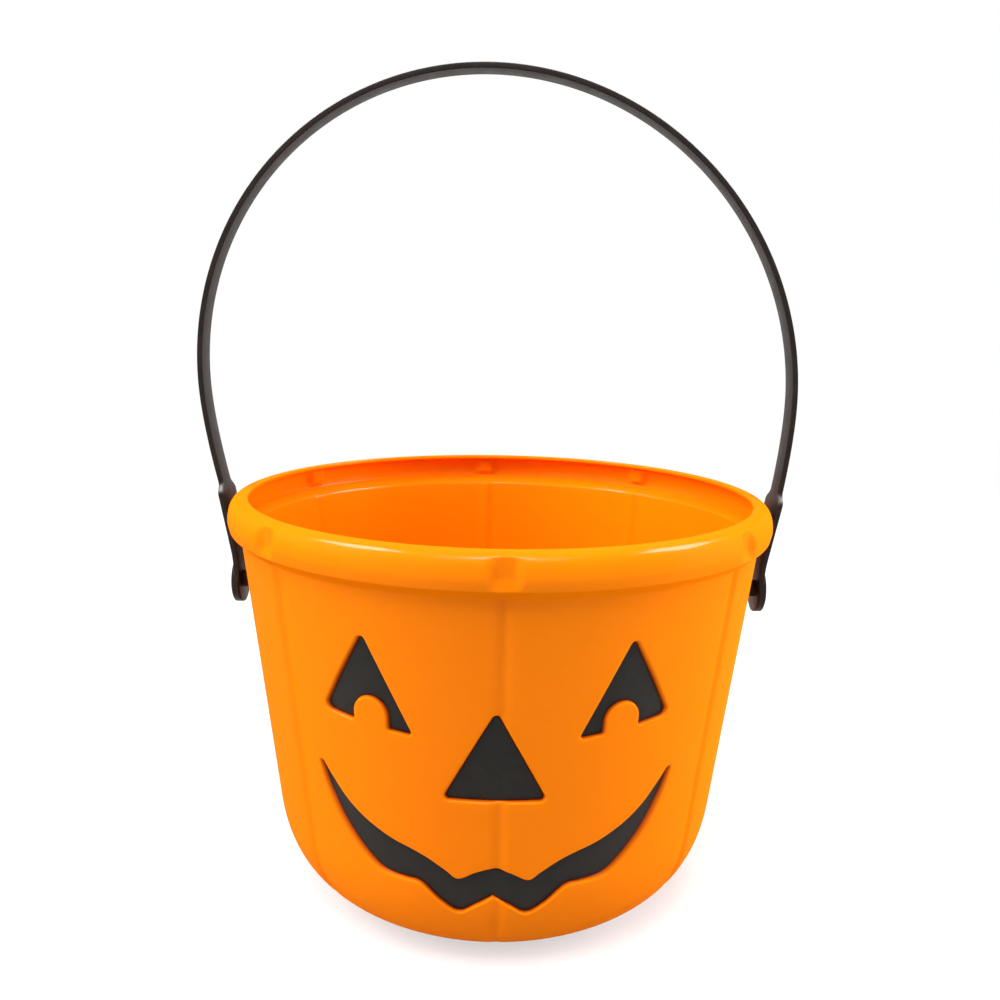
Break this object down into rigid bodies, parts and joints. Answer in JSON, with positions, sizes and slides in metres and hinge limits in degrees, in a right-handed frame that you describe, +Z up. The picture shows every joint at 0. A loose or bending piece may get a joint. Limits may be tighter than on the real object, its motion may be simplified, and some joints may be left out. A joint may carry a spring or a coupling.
{
  "type": "trick-or-treat pail",
  "caption": "Open round orange plastic pail with a sunk jack-o'-lantern face, a stepped rim band and a black strap handle that swings over the mouth.",
  "frame": {"origin": "centre of the flat underside of the base, on the pail's own axis", "axes": "+Z up along the pail's axis; the face looks along -Y; the handle's pivot axis lies along X"},
  "size_m": [0.2197, 0.1993, 0.298],
  "materials": {
    "bucket": "semi-gloss moulded polypropylene, orange",
    "handle": "satin moulded polypropylene, black",
    "inlay": "satin dark grey, slightly uneven"
  },
  "bodies": {
    "bucket": {"bucket": "bucket", "left_eye": "inlay", "right_eye": "inlay", "nose": "inlay", "mouth": "inlay"},
    "handle": {"handle": "handle"}
  },
  "joints": [
    {"name": "handle_swing", "type": "hinge", "parent": "bucket", "child": "handle", "pos_m": [0, 0, 0.1113], "axis": [1, 0, 0], "range_deg": [-125, 125]}
  ]
}
